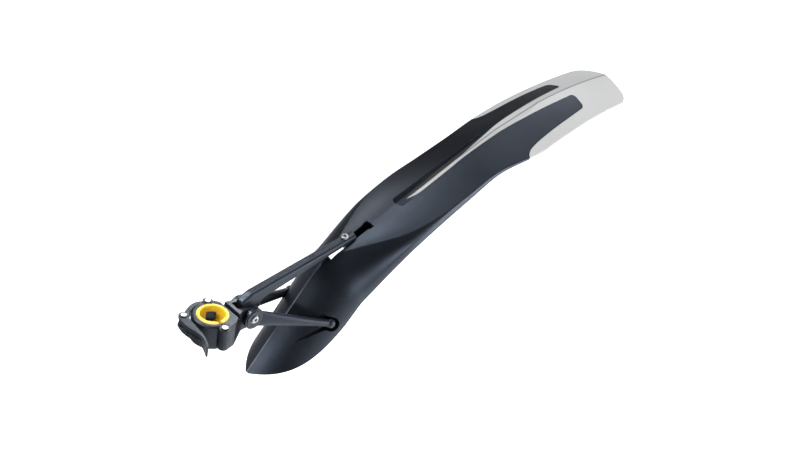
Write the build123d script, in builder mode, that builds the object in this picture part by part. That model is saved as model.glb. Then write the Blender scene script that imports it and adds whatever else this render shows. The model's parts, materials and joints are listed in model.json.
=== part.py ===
"""Quick-release rear mudguard for a bicycle seatpost.

The origin is the middle of the clamp's bore, +Z runs up the seatpost, +X to the rear wheel's tail end
and +Y to the bicycle's right. All lengths are in millimetres and all angles in degrees.
"""
from build123d import *

import os
from math import cos, radians, sin, tan
from typing import NamedTuple

os.makedirs("parts", exist_ok=True)

# Clearances
RUNNING_FIT = 0.05  # between a pin and its bore, all round
SIDE_GAP = 0.3  # between pieces that turn past each other
SEAT_GAP = 0.15  # under the head of a pin or screw

# Seatpost clamp
POST_DIAMETER = 27.2
SLEEVE_WALL = 3.9
SLEEVE_PROUD = 0.5  # rim of the sleeve past the clamp's face
SLEEVE_CHAMFER = 0.7
SLEEVE_NEAR_GAP = 4.2
CLAMP_HEIGHT = 30.0
CLAMP_TURN = 9.5  # the clamp's split is turned this much about the post
SPLIT_GAP = 0.8
JAW_WALL = 5.0
JAW_EDGE = 2.6
BODY_WALL = 5.5
BARREL_WALL = 3.1
HINGE_LOW = -10.5  # lower end of the hinge barrel
HINGE_RISE = 2.0  # height of the joint between the two hinge knuckles
HINGE_OFFSET = 0.6
HINGE_STANDOFF = 0.8
JAW_WINDOW_LOW = -7.0
JAW_WINDOW_HIGH = 3.0
JAW_WINDOW_WIDTH = 25.0
SLEEVE_WINDOW_WIDTH = 12.0
SLEEVE_WINDOW_HEIGHT = 15.0
PIN_DIAMETER = 5.0
PIN_HEAD_DIAMETER = 8.2
PIN_HEAD_HEIGHT = 1.0
PIN_HEAD_ROUND = 0.4

# Swing link and cam lever
LINK_PIN_OFFSET = 5.5
LINK_PIN_REACH = 22.0
LINK_LOW = 4.2
LINK_HEIGHT = 7.6
LINK_WIDTH = 5.0
LINK_BULGE = 1.2  # how far the link stands off the jaw
LEVER_PIN_AHEAD = 29.0
LEVER_PIN_SIDE = 9.0
LEVER_LOW = 2.0
LEVER_HEIGHT = 13.0
LEVER_BOSS_RADIUS = 5.6
LEVER_REACH = 55.5  # from the lever's pin to its tip
FINGER_GROOVE_HEIGHT = 4.0
FINGER_GROOVE_DEPTH = 1.4
CAM_PAD_WIDTH = 6.0
CAM_PAD_HEIGHT = 7.0
CAM_GAP = 0.5

# Bracket neck and pivot
PIVOT_X = 45.3
PIVOT_Z = 0.0
EAR_RADIUS = 11.8
EAR_HALF_WIDTH = 10.2
NECK_FLARE = 24.0  # half-width of the neck where it leaves the clamp
NECK_FLARE_X = 12.0
NECK_X = 32.0
FORK_X = 28.6  # front wall of the recess between the ears
NECK_LOW_X = 14.0
NECK_HIGH_X = 24.0
SIDE_GROOVE_PITCH = 4.2
SIDE_GROOVE_HEIGHT = 1.6
SIDE_GROOVE_DEPTH = 1.3
SIDE_GROOVE_COUNT = 4
SIDE_GROOVE_LENGTH = 12.0
SIDE_GROOVE_TOP = 10.1
PIVOT_BOLT_DIAMETER = 5.0
PIVOT_HEAD_DIAMETER = 9.5
PIVOT_HEAD_HEIGHT = 2.75
WASHER_DIAMETER = 11.0
WASHER_THICKNESS = 1.0
NUT_FLATS = 8.0
NUT_HEIGHT = 4.0
HEX_KEY = 3.0
HEX_DEPTH = 1.6

# Side arms
ARM_DISC_RADIUS = 12.2
ARM_DISC_THICKNESS = 4.9
ARM_BOSS_RADIUS = 10.2
ARM_BOSS_HEIGHT = 0.8
ARM_COUNTERBORE_DEPTH = 2.4
ARM_ROOT_OFFSET = 7.0  # the bar leaves the disc this far from the pivot
ARM_ROOT_DROP = 0.6
BALL_RADIUS = 6.0

# Top arm
TOP_ARM_WIDTH = 11.2
TOP_ARM_EDGE = 3.0
KNUCKLE_RADIUS = 8.5
KNUCKLE_BROW = 2.8  # how far the arm's front stands ahead of the knuckle
KNUCKLE_BROW_LOW = 10.0
KNUCKLE_BROW_HIGH = 18.5
ELBOW_X = 47.5
ELBOW_RISE = 25.6  # outer corner of the elbow above the pivot
ELBOW_RADIUS = 9.0
BROW_RADIUS = 4.5
TOP_ARM_SLOPE = 10.9
TOP_ARM_DEPTH = 13.0
FOOT_LENGTH = 13.0
FOOT_GAP = 0.8
SLOT_SCREW_DIAMETER = 4.0
SLOT_SCREW_HEAD_DIAMETER = 8.4
SLOT_SCREW_HEAD_HEIGHT = 2.2
SLIDE_NUT_LENGTH = 14.0
SLIDE_NUT_WIDTH = 14.0
SLIDE_NUT_HEIGHT = 4.5
SLIDE_NUT_GAP = 1.3  # under the skin, which falls away to both sides

# Crest of the blade, from the nose tip to the tail
NOSE_X = 58.0
NOSE_Z = -89.0
NOSE_SLOPE = 53.0
NOSE_LENGTH = 129.6
KNEE_RADIUS = 70.0
DECK_SLOPE = 22.5
DECK_LENGTH = 190.0
TAIL_RADIUS = 580.0
TAIL_SLOPE = -2.5

# Blade
BLADE_WALL = 2.4
SIDE_SLOPE = 27.0  # fall of the sides where they leave the deck
NOSE_EDGE_FLAT = 1.0
NOSE_EDGE_MIDDLE = (40.0, 29.0)  # distance along the crest and depth of the prow's lower edge
NOSE_EDGE_END = (114.0, 47.0)
TAIL_CORNER = 15.0
TAIL_BULGE = 4.0  # how far the middle of the tail's end stands past its corners
OVERRUN = 12.0  # the hulls run this much past the blade's ends
UNDERRUN = 4.0  # and the inner ones this much below its edges
HULL_SPANS = 40  # evenly spaced spans of the skin between cross-sections
SLOT_START = 157.0  # distances along the crest
SLOT_END = 220.0
SLOT_WIDTH = 9.4
SLOT_HEAD_WIDTH = 12.4
SLOT_HEAD_LENGTH = 6.0
FOOT_END = 194.0
SCREW_SETBACK = 12.0  # slot screw ahead of the end of the top arm
TROUGH_START = 258.0
TROUGH_FLARE = 1.25  # half-width of the trough's mouth above the deck, to its half-width at the deck
SOCKET_DISTANCE = 96.1
SOCKET_DROP = 30.6
SOCKET_SPREAD = 34.6
SOCKET_CLEARANCE = 0.5
SOCKET_MOUTH = 1.8
SOCKET_BOSS_WALL = 2.4
SOCKET_FLOOR = 4.0
CHANNEL_LENGTH = 11.0  # of the opening that the arm lies in, from the ball towards the pivot
CHANNEL_NARROWING = 0.8
CHANNEL_FLOOR = 2.2
SOCKET_SCREW_DIAMETER = 4.0
SOCKET_SCREW_HEAD_DIAMETER = 7.6
SOCKET_SCREW_HEAD_HEIGHT = 2.4
SCOOP_DISTANCE = 51.5
SCOOP_DROP = 10.0
SCOOP_SPREAD = 19.8
SCOOP_TIP_RADIUS = 0.7
SCOOP_RADIUS = 5.4

# Light tail: a centre prong between two dark fingers, and a wedge along each edge
PRONG_START = 276.0
PRONG_HALF_WIDTHS = ((282.0, 2.1), (350.0, 4.2), (420.0, 6.0), (490.0, 9.0))
FINGER_END = 542.0
FINGER_INNER = 10.0
FINGER_OUTER = 31.0
FINGER_CORNER = 6.0
WEDGE_POINTS = ((500.0, 34.8), (470.0, 37.4), (446.0, 40.4), (434.5, 44.6))
WEDGE_START = 431.0


class TroughStation(NamedTuple):
    """One cross-section of the trough that the prong lies in."""

    distance: float
    half_width: float
    floor_half_width: float
    depth: float


TROUGH = (
    TroughStation(248.0, 10.4, 4.4, 5.8),
    TroughStation(300.0, 9.4, 4.2, 5.6),
    TroughStation(350.0, 8.2, 5.0, 4.8),
    TroughStation(420.0, 7.6, 6.6, 2.8),
    TroughStation(492.0, 9.6, 9.5, 0.1),
)


class ArmStation(NamedTuple):
    """One oval cross-section of a side arm: share of the way to its ball, height and width."""

    share: float
    height: float
    width: float


ARM = (
    ArmStation(0.0, 19.0, 4.6),
    ArmStation(0.3, 15.2, 8.0),
    ArmStation(0.7, 10.6, 9.0),
    ArmStation(1.0, 8.8, 8.8),
)


class LeverStation(NamedTuple):
    """Place along the lever: share of its reach, how far its outside leans in, and its thickness."""

    share: float
    lean: float
    thickness: float


LEVER = (
    LeverStation(0.11, -0.6, 9.6),
    LeverStation(0.34, 1.2, 7.9),
    LeverStation(0.53, 5.0, 4.7),
    LeverStation(0.68, 7.0, 2.9),
    LeverStation(0.85, 6.0, 2.5),
    LeverStation(1.0, 3.6, 2.0),
)


class Station(NamedTuple):
    """One cross-section of the blade: half-widths and depths below the crest."""

    distance: float
    half_width: float
    depth: float
    deck_half_width: float
    deck_drop: float
    crown: float  # 0 for a round crest, 0.5 for a straight roof with a crease


STATIONS = (
    Station(-OVERRUN, 41.5, 46.0, 1.2, 0.3, 0.5),
    Station(70.0, 41.5, 46.0, 1.2, 0.3, 0.5),
    Station(130.0, 43.6, 46.6, 1.8, 0.4, 0.5),
    Station(165.0, 43.8, 46.0, 5.0, 0.8, 0.3),
    Station(205.0, 46.7, 33.0, 23.0, 4.0, 0.15),
    Station(240.0, 49.0, 23.5, 37.5, 7.8, 0.2),
    Station(285.0, 48.0, 20.2, 45.0, 10.8, 0.32),
    Station(330.0, 45.8, 20.2, 44.0, 13.2, 0.4),
    Station(380.0, 44.3, 20.0, 43.0, 15.5, 0.42),
    Station(440.0, 50.4, 24.0, 49.2, 21.5, 0.46),
    Station(485.0, 49.2, 22.4, 48.0, 20.0, 0.43),
    Station(540.0, 46.2, 19.6, 45.0, 17.4, 0.37),
    Station(614.0, 43.0, 15.6, 41.8, 13.6, 0.3),
)

# Sizes that follow from the ones above
SLEEVE_RADIUS = POST_DIAMETER / 2 + SLEEVE_WALL
JAW_RADIUS = SLEEVE_RADIUS + JAW_WALL
BODY_RADIUS = SLEEVE_RADIUS + BODY_WALL
HALF_HEIGHT = CLAMP_HEIGHT / 2
PIN_RADIUS = PIN_DIAMETER / 2
PIN_BORE = PIN_RADIUS + RUNNING_FIT
BARREL_RADIUS = PIN_RADIUS + BARREL_WALL
HINGE_AT = (HINGE_OFFSET, -(JAW_RADIUS + PIN_RADIUS + HINGE_STANDOFF))
LINK_AT = (LINK_PIN_OFFSET, LINK_PIN_REACH)
LEVER_AT = (-LEVER_PIN_AHEAD, LEVER_PIN_SIDE)
LINK_EYE_RADIUS = PIN_RADIUS + 2.1
LINK_HIGH = LINK_LOW + LINK_HEIGHT
LEVER_HIGH = LEVER_LOW + LEVER_HEIGHT
DISC_INNER = EAR_HALF_WIDTH + SIDE_GAP
DISC_OUTER = DISC_INNER + ARM_DISC_THICKNESS + ARM_BOSS_HEIGHT
BOLT_RADIUS = PIVOT_BOLT_DIAMETER / 2
BOLT_BORE = BOLT_RADIUS + RUNNING_FIT
SOCKET_SCREW_RADIUS = SOCKET_SCREW_DIAMETER / 2
SLOT_SCREW_RADIUS = SLOT_SCREW_DIAMETER / 2
SOCKET_MOUTH_RADIUS = BALL_RADIUS + SOCKET_CLEARANCE + SOCKET_MOUTH
screw_depth = BALL_RADIUS / 3  # screw past the middle of the ball
BOSS_FACE = SOCKET_SPREAD - BALL_RADIUS - SOCKET_CLEARANCE - SOCKET_FLOOR
REACH = 80.0  # longer than the part is wide

clamp_plane = Plane.XY.rotated((0, 0, -CLAMP_TURN))


def crest(distance):
    """Point of the crest at a distance from the nose tip, and its slope in degrees."""
    knee_length = KNEE_RADIUS * radians(NOSE_SLOPE - DECK_SLOPE)
    along = min(distance, NOSE_LENGTH)
    x = NOSE_X + along * cos(radians(NOSE_SLOPE))
    z = NOSE_Z + along * sin(radians(NOSE_SLOPE))
    slope = NOSE_SLOPE
    if distance > NOSE_LENGTH:
        slope = NOSE_SLOPE - (NOSE_SLOPE - DECK_SLOPE) * min(1, (distance - NOSE_LENGTH) / knee_length)
        x += KNEE_RADIUS * (sin(radians(NOSE_SLOPE)) - sin(radians(slope)))
        z += KNEE_RADIUS * (cos(radians(slope)) - cos(radians(NOSE_SLOPE)))
    if distance > NOSE_LENGTH + knee_length:
        along = min(distance - NOSE_LENGTH - knee_length, DECK_LENGTH)
        x += along * cos(radians(DECK_SLOPE))
        z += along * sin(radians(DECK_SLOPE))
    beyond = distance - NOSE_LENGTH - knee_length - DECK_LENGTH
    if beyond > 0:
        slope = DECK_SLOPE - beyond / radians(TAIL_RADIUS)
        x += TAIL_RADIUS * (sin(radians(DECK_SLOPE)) - sin(radians(slope)))
        z += TAIL_RADIUS * (cos(radians(slope)) - cos(radians(DECK_SLOPE)))
    return Vector(x, 0, z), slope


def section_plane(distance):
    """Plane across the blade: local X to the right, local Y out of the crest."""
    point, slope = crest(distance)
    return Plane(point, x_dir=(0, 1, 0), z_dir=(cos(radians(slope)), 0, sin(radians(slope))))


def side_plane(distance):
    """Plane along the blade's middle: local X along the crest, local Y out of it."""
    point, slope = crest(distance)
    return Plane(point, x_dir=(cos(radians(slope)), 0, sin(radians(slope))), z_dir=(0, -1, 0))


def on_blade(distance, drop, spread):
    """Point at a drop below the crest and a spread to the right of it."""
    return section_plane(distance).from_local_coords(Vector(spread, -drop, 0))


def station_at(distance):
    """Cross-section at any distance along the crest, on a smooth curve through the table."""
    rows = STATIONS[:1] + STATIONS + STATIONS[-1:]
    before, low, high, after = rows[:4]
    for before, low, high, after in zip(rows, rows[1:], rows[2:], rows[3:]):
        if distance <= high.distance:
            break
    span = high.distance - low.distance
    share = min(1, max(0, (distance - low.distance) / span))
    values = []
    for start, first, last, end in list(zip(before, low, high, after))[1:]:
        leave = (last - start) / (high.distance - before.distance) * span
        reach = (end - first) / (after.distance - low.distance) * span
        value = first * (1 + 2 * share) * (1 - share) ** 2 + last * share**2 * (3 - 2 * share)
        values.append(value + share * (1 - share) * (leave * (1 - share) - reach * share))
    return Station(distance, *values)


def hull_section(station, inset, below):
    """Closed cross-section, a wall's thickness inside the outer skin and reaching below its edge."""
    half = station.half_width - inset
    deck = station.deck_half_width * half / station.half_width
    top = -inset
    shoulder = top - station.deck_drop
    bottom = -station.depth - below
    knee = shoulder - (half - deck) * tan(radians(SIDE_SLOPE))
    with BuildSketch(section_plane(station.distance)) as section:
        with BuildLine():
            Bezier((0, top), (deck / 2, top - station.crown * station.deck_drop), (deck, shoulder))
            Bezier((deck, shoulder), (half, knee), (half, bottom))
            Line((half, bottom), (-half, bottom))
            Bezier((-half, bottom), (-half, knee), (-deck, shoulder))
            Bezier((-deck, shoulder), (-deck / 2, top - station.crown * station.deck_drop), (0, top))
        make_face()
    return section.sketch.face()


def hull(inset, below, overrun):
    """Evenly spaced cross-sections of the blade from ahead of the nose to the tail."""
    start = STATIONS[0].distance - overrun
    step = (STATIONS[-1].distance + overrun - start) / HULL_SPANS
    return [hull_section(station_at(start + step * span), inset, below) for span in range(HULL_SPANS + 1)]


def deck_outline(points):
    """Plan points from pairs of distance along the crest and half-width."""
    return [(crest(distance)[0].X, half_width) for distance, half_width in points]


def trough(wall):
    """Tapered trough along the crest with a rounded front end, or the body of its wall below the deck."""
    sections = []
    for place in TROUGH:
        with BuildSketch(section_plane(place.distance)) as section:
            top = place.half_width * TROUGH_FLARE + wall
            rise = place.depth * (TROUGH_FLARE - 1) * place.half_width
            rise = rise / max(1, place.half_width - place.floor_half_width) + 1
            low = place.floor_half_width + wall
            with BuildLine():
                floor = -place.depth - wall
                Polyline((-top, rise), (-low, floor), (low, floor), (top, rise), close=True)
            make_face()
        sections.append(section.sketch.face())
    with BuildPart() as body:
        loft(sections, ruled=True)
        with BuildSketch(Plane.XY):
            front_x = crest(TROUGH_START)[0].X - wall
            round_end = TROUGH[0].half_width + wall
            with Locations((front_x + round_end, 0)):
                Circle(round_end)
                Rectangle(REACH * 4, 2 * round_end, align=(Align.MIN, Align.CENTER))
        extrude(amount=3 * REACH, mode=Mode.INTERSECT)
    return body.part


def headed_pin(place, low, high):
    """Pin across the clamp with a rounded head on top and a smaller riveted end."""
    with BuildPart() as pin:
        with BuildSketch(clamp_plane.offset(low - SEAT_GAP)):
            with Locations(place):
                Circle(PIN_RADIUS)
        extrude(amount=high - low + 2 * SEAT_GAP)
        with BuildSketch(clamp_plane.offset(high + SEAT_GAP)):
            with Locations(place):
                Circle(PIN_HEAD_DIAMETER / 2)
        extrude(amount=PIN_HEAD_HEIGHT)
        fillet(pin.faces().sort_by(Axis.Z)[-1].edges(), PIN_HEAD_ROUND)
        with BuildSketch(clamp_plane.offset(low - SEAT_GAP)):
            with Locations(place):
                Circle(PIN_RADIUS + PIN_HEAD_HEIGHT)
        extrude(amount=-PIN_HEAD_HEIGHT)
    return pin.part


def write(part, label):
    """Label a finished piece and write its file."""
    part.label = label
    export_step(part, f"parts/{label}.step")


# Bracket: the clamp's rear half, a flared neck and two ears for the pivot
with BuildPart() as bracket:
    with BuildSketch(Plane.XY.offset(-HALF_HEIGHT)):
        Circle(BODY_RADIUS)
        with BuildLine():
            Polyline(
                (0, -NECK_FLARE - BARREL_WALL),
                (NECK_FLARE_X, -NECK_FLARE),
                (NECK_X, -EAR_HALF_WIDTH),
                (PIVOT_X + EAR_RADIUS, -EAR_HALF_WIDTH),
                (PIVOT_X + EAR_RADIUS, EAR_HALF_WIDTH),
                (0, EAR_HALF_WIDTH),
                close=True,
            )
        make_face()
    extrude(amount=REACH)
    with BuildSketch(Plane.XZ) as neck_side:
        with BuildLine():
            Line((NECK_LOW_X, -HALF_HEIGHT), (NECK_HIGH_X, HALF_HEIGHT))
        with Locations((PIVOT_X, PIVOT_Z)):
            Circle(EAR_RADIUS)
        make_hull()
        with Locations(((NECK_LOW_X + NECK_HIGH_X) / 2 - REACH / 2, 0)):
            Rectangle(REACH, CLAMP_HEIGHT)
    extrude(amount=REACH, both=True, mode=Mode.INTERSECT)
    with BuildSketch(clamp_plane.offset(-HALF_HEIGHT)):
        with Locations((SPLIT_GAP / 2 - REACH / 2, 0)):
            Rectangle(REACH, REACH)
    extrude(amount=CLAMP_HEIGHT, mode=Mode.SUBTRACT)
    with BuildSketch(clamp_plane.offset(-HALF_HEIGHT)):
        with Locations(LINK_AT):
            Circle(BARREL_RADIUS)
    extrude(amount=CLAMP_HEIGHT)
    with BuildSketch(clamp_plane.offset(HINGE_RISE)):
        with Locations(HINGE_AT):
            Circle(BARREL_RADIUS + SIDE_GAP)
    extrude(amount=CLAMP_HEIGHT, mode=Mode.SUBTRACT)
    with BuildSketch(clamp_plane.offset(-HALF_HEIGHT)):
        with Locations(HINGE_AT):
            Circle(PIN_HEAD_DIAMETER / 2 + SIDE_GAP)
    extrude(amount=HALF_HEIGHT + HINGE_LOW, mode=Mode.SUBTRACT)
    with BuildSketch(clamp_plane.offset(HINGE_LOW)):
        with Locations(HINGE_AT):
            Circle(BARREL_RADIUS)
    extrude(amount=HINGE_RISE - HINGE_LOW)
    with BuildSketch(clamp_plane.offset(-HALF_HEIGHT)):
        Circle(SLEEVE_RADIUS)
        with Locations(HINGE_AT, LINK_AT):
            Circle(PIN_BORE)
    extrude(amount=CLAMP_HEIGHT, mode=Mode.SUBTRACT)
    with BuildSketch(clamp_plane.offset(LINK_LOW - SIDE_GAP)):
        with Locations(LINK_AT):
            Circle(BARREL_RADIUS + SIDE_GAP)
    extrude(amount=LINK_HEIGHT + 2 * SIDE_GAP, mode=Mode.SUBTRACT)
    with BuildSketch(Plane.XY.offset(-REACH / 2)):
        with Locations((FORK_X, 0)):
            Rectangle(REACH, TOP_ARM_WIDTH + 2 * SIDE_GAP, align=(Align.MIN, Align.CENTER))
    extrude(amount=REACH, mode=Mode.SUBTRACT)
    with BuildSketch(Plane.XZ):
        with Locations((PIVOT_X, PIVOT_Z)):
            Circle(BOLT_BORE)
    extrude(amount=REACH, both=True, mode=Mode.SUBTRACT)
    flare = Vector(NECK_X - NECK_FLARE_X, NECK_FLARE - EAR_HALF_WIDTH, 0)
    for row in range(SIDE_GROOVE_COUNT):
        middle = Vector(NECK_FLARE_X, -NECK_FLARE, SIDE_GROOVE_TOP - SIDE_GROOVE_PITCH * row) + flare * 0.45
        with Locations(Plane(middle, x_dir=flare)):
            Box(SIDE_GROOVE_LENGTH, 2 * SIDE_GROOVE_DEPTH, SIDE_GROOVE_HEIGHT, mode=Mode.SUBTRACT)
write(bracket.part, "bracket")

# Jaw: the clamp's hinged front half, with a window to the sleeve and a pad for the lever's cam face
lever_outer_x = -(LEVER_PIN_AHEAD + LEVER_BOSS_RADIUS)
lever_inner_x = lever_outer_x + LEVER[0].lean + LEVER[0].thickness
with BuildPart() as clamp_jaw:
    with BuildSketch(clamp_plane.offset(-HALF_HEIGHT)):
        Circle(JAW_RADIUS)
        with Locations((REACH / 2 - SPLIT_GAP / 2, 0)):
            Rectangle(REACH, REACH, mode=Mode.SUBTRACT)
    extrude(amount=CLAMP_HEIGHT)
    fillet(clamp_jaw.faces().filter_by(Plane.XY).edges().filter_by(GeomType.CIRCLE), JAW_EDGE)
    with BuildSketch(clamp_plane.offset(HINGE_RISE + SIDE_GAP)):
        with Locations(HINGE_AT):
            Circle(BARREL_RADIUS)
    extrude(amount=HALF_HEIGHT - HINGE_RISE - SIDE_GAP)
    with BuildSketch(clamp_plane.offset(-HALF_HEIGHT)):
        with Locations(HINGE_AT):
            Circle(BARREL_RADIUS + 2 * SIDE_GAP)
    extrude(amount=HALF_HEIGHT + HINGE_RISE + SIDE_GAP, mode=Mode.SUBTRACT)
    with BuildSketch(clamp_plane.offset(JAW_WINDOW_HIGH + SIDE_GAP)):
        with Locations((lever_inner_x + CAM_GAP, 0)):
            Rectangle(JAW_WALL + SLEEVE_WALL, CAM_PAD_WIDTH, align=(Align.MIN, Align.MAX))
    extrude(amount=CAM_PAD_HEIGHT)
    with BuildSketch(clamp_plane.offset(-HALF_HEIGHT)):
        Circle(SLEEVE_RADIUS)
        with Locations(HINGE_AT):
            Circle(PIN_BORE)
    extrude(amount=CLAMP_HEIGHT, mode=Mode.SUBTRACT)
    with BuildSketch(clamp_plane.offset(JAW_WINDOW_LOW)):
        with Locations((-JAW_RADIUS, 0)):
            Rectangle(JAW_RADIUS, JAW_WINDOW_WIDTH)
    extrude(amount=JAW_WINDOW_HIGH - JAW_WINDOW_LOW, mode=Mode.SUBTRACT)
write(clamp_jaw.part, "clamp_jaw")

# Sleeve: two half-shells that fit the clamp to the post, the rear one with a window at the link's pocket
with BuildPart() as sleeve:
    with BuildSketch(clamp_plane.offset(-HALF_HEIGHT - SLEEVE_PROUD)):
        Circle(SLEEVE_RADIUS)
        Circle(POST_DIAMETER / 2, mode=Mode.SUBTRACT)
        with Locations((0, -SLEEVE_RADIUS)):
            Rectangle(SLEEVE_NEAR_GAP, SLEEVE_RADIUS, mode=Mode.SUBTRACT)
    extrude(amount=CLAMP_HEIGHT + 2 * SLEEVE_PROUD)
    rims = sleeve.faces().filter_by(Plane.XY).edges().filter_by(GeomType.CIRCLE)
    chamfer(rims.filter_by(lambda rim: rim.radius > POST_DIAMETER / 2 + SLEEVE_WALL / 2), SLEEVE_CHAMFER)

with BuildPart() as sleeve_rear:
    add(sleeve.part)
    with BuildSketch(clamp_plane.offset(-REACH / 2)):
        with Locations((RUNNING_FIT - REACH / 2, 0)):
            Rectangle(REACH, REACH)
    extrude(amount=REACH, mode=Mode.SUBTRACT)
    with BuildSketch(Plane(clamp_plane.origin, x_dir=clamp_plane.x_dir, z_dir=-clamp_plane.y_dir)):
        RectangleRounded(2 * SLEEVE_WINDOW_WIDTH, SLEEVE_WINDOW_HEIGHT, SLEEVE_WALL)
    extrude(amount=-REACH, mode=Mode.SUBTRACT)
write(sleeve_rear.part, "sleeve_rear")

with BuildPart() as sleeve_front:
    add(sleeve.part)
    with BuildSketch(clamp_plane.offset(-REACH / 2)):
        with Locations((REACH / 2 - RUNNING_FIT, 0)):
            Rectangle(REACH, REACH)
    extrude(amount=REACH, mode=Mode.SUBTRACT)
write(sleeve_front.part, "sleeve_front")

# Swing link: bowed round the jaw from the bracket to the lever
with BuildPart() as swing_link:
    with BuildSketch(clamp_plane.offset(LINK_LOW)):
        with BuildLine():
            bow = JAW_RADIUS + LINK_WIDTH / 2 + LINK_BULGE
            Spline(LINK_AT, (-bow * sin(radians(12)), bow * cos(radians(12))),
                   (-bow * sin(radians(40)), bow * cos(radians(40))), LEVER_AT)
        trace(line_width=LINK_WIDTH)
        with Locations(LINK_AT, LEVER_AT):
            Circle(LINK_EYE_RADIUS)
        with Locations(LINK_AT, LEVER_AT):
            Circle(PIN_BORE, mode=Mode.SUBTRACT)
    extrude(amount=LINK_HEIGHT)
write(swing_link.part, "swing_link")

# Cam lever: forked on the link, lying across the front of the jaw with a thin curled tip
with BuildPart() as cam_lever:
    with BuildSketch(clamp_plane.offset(LEVER_LOW)):
        with BuildLine():
            outside = []
            inside = []
            for place in LEVER:
                along = LEVER_PIN_SIDE - LEVER_REACH * place.share
                outside.append((lever_outer_x + place.lean, along))
                inside.append((lever_outer_x + place.lean + place.thickness, along))
            outer = Spline((lever_outer_x, LEVER_PIN_SIDE), *outside)
            tip = Line(outer @ 1, inside[-1])
            inner = Spline(*reversed(inside), (LEVER_BOSS_RADIUS - LEVER_PIN_AHEAD, LEVER_PIN_SIDE))
            ThreePointArc(inner @ 1, (-LEVER_PIN_AHEAD, LEVER_PIN_SIDE + LEVER_BOSS_RADIUS), outer @ 0)
        make_face()
        with Locations(LEVER_AT):
            Circle(PIN_BORE, mode=Mode.SUBTRACT)
    extrude(amount=LEVER_HEIGHT)
    with BuildSketch(clamp_plane.offset(LINK_LOW - SIDE_GAP)):
        with Locations((-LEVER_PIN_AHEAD, LEVER_PIN_SIDE - LINK_EYE_RADIUS - 2 * SIDE_GAP)):
            Rectangle(4 * LEVER_BOSS_RADIUS, REACH, align=(Align.CENTER, Align.MIN))
    extrude(amount=LINK_HEIGHT + 2 * SIDE_GAP, mode=Mode.SUBTRACT)
    with BuildSketch(clamp_plane.offset(LEVER_LOW + (LEVER_HEIGHT - FINGER_GROOVE_HEIGHT) / 2)):
        with BuildLine():
            Spline(*outside[:4])
        trace(line_width=2 * FINGER_GROOVE_DEPTH)
    extrude(amount=FINGER_GROOVE_HEIGHT, mode=Mode.SUBTRACT)
write(cam_lever.part, "cam_lever")

# Clamp pins
write(headed_pin(HINGE_AT, HINGE_LOW, HALF_HEIGHT), "jaw_hinge_pin")
write(headed_pin(LINK_AT, -HALF_HEIGHT, HALF_HEIGHT), "link_pin")
write(headed_pin(LEVER_AT, LEVER_LOW, LEVER_HIGH), "lever_pin")

# Side arms: a disc on the bracket's ear, a tapering bar and a ball in the blade's socket
socket = on_blade(SOCKET_DISTANCE, SOCKET_DROP, SOCKET_SPREAD)
for side, side_name in ((-1, "left"), (1, "right")):
    ball = Vector(socket.X, side * SOCKET_SPREAD, socket.Z)
    root = Vector(PIVOT_X, 0, PIVOT_Z)
    root += Vector(socket.X - PIVOT_X, 0, socket.Z - PIVOT_Z).normalized() * ARM_ROOT_OFFSET
    root += Vector(0, side * (DISC_INNER + ARM_DISC_THICKNESS / 2), -ARM_ROOT_DROP)
    run = (ball - root).normalized()
    upright = run.cross(Vector(0, 1, 0)).normalized()
    with BuildPart() as side_arm:
        with BuildSketch(Plane((PIVOT_X, side * DISC_INNER, PIVOT_Z), x_dir=(1, 0, 0), z_dir=(0, side, 0))):
            Circle(ARM_DISC_RADIUS)
        extrude(amount=ARM_DISC_THICKNESS)
        with BuildSketch(Plane((PIVOT_X, side * DISC_INNER, PIVOT_Z), x_dir=(1, 0, 0), z_dir=(0, side, 0))):
            Circle(ARM_BOSS_RADIUS)
        extrude(amount=ARM_DISC_THICKNESS + ARM_BOSS_HEIGHT)
        for place in ARM:
            with BuildSketch(Plane(root + (ball - root) * place.share, x_dir=upright, z_dir=run)):
                Ellipse(place.height / 2, place.width / 2)
        loft()
        with Locations(ball):
            Sphere(BALL_RADIUS)
        with BuildSketch(Plane.XZ):
            with Locations((PIVOT_X, PIVOT_Z)):
                Circle(BOLT_BORE)
        extrude(amount=-side * REACH, mode=Mode.SUBTRACT)
        with BuildSketch(Plane(ball, x_dir=(1, 0, 0), z_dir=(0, -side, 0)).offset(-screw_depth - SEAT_GAP)):
            Circle(SOCKET_SCREW_RADIUS + RUNNING_FIT)
        extrude(amount=BALL_RADIUS * 2, mode=Mode.SUBTRACT)
        with BuildSketch(Plane((PIVOT_X, side * DISC_OUTER, PIVOT_Z), x_dir=(1, 0, 0), z_dir=(0, -side, 0))):
            if side < 0:
                Circle(WASHER_DIAMETER / 2 + SIDE_GAP)
            else:
                RegularPolygon(NUT_FLATS / 2 + RUNNING_FIT, 6, major_radius=False)
        extrude(amount=ARM_COUNTERBORE_DEPTH, mode=Mode.SUBTRACT)
    write(side_arm.part, f"side_arm_{side_name}")

    # Screw from inside the blade into the ball
    seat = BOSS_FACE - SEAT_GAP
    with BuildPart() as socket_screw:
        with BuildSketch(Plane((ball.X, side * seat, ball.Z), x_dir=(1, 0, 0), z_dir=(0, side, 0))):
            Circle(SOCKET_SCREW_RADIUS)
        extrude(amount=SOCKET_SPREAD + screw_depth - seat)
        with BuildSketch(Plane((ball.X, side * seat, ball.Z), x_dir=(1, 0, 0), z_dir=(0, -side, 0))):
            Circle(SOCKET_SCREW_HEAD_DIAMETER / 2)
        extrude(amount=SOCKET_SCREW_HEAD_HEIGHT)
        crown = socket_screw.faces().sort_by(Axis.Y)[0 if side > 0 else -1]
        fillet(crown.edges(), SOCKET_SCREW_HEAD_HEIGHT / 3)
        with BuildSketch(Plane(crown.center(), x_dir=(1, 0, 0), z_dir=(0, side, 0))):
            RegularPolygon(HEX_KEY / 2, 6, major_radius=False)
        extrude(amount=HEX_DEPTH, mode=Mode.SUBTRACT)
    write(socket_screw.part, f"socket_screw_{side_name}")

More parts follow.
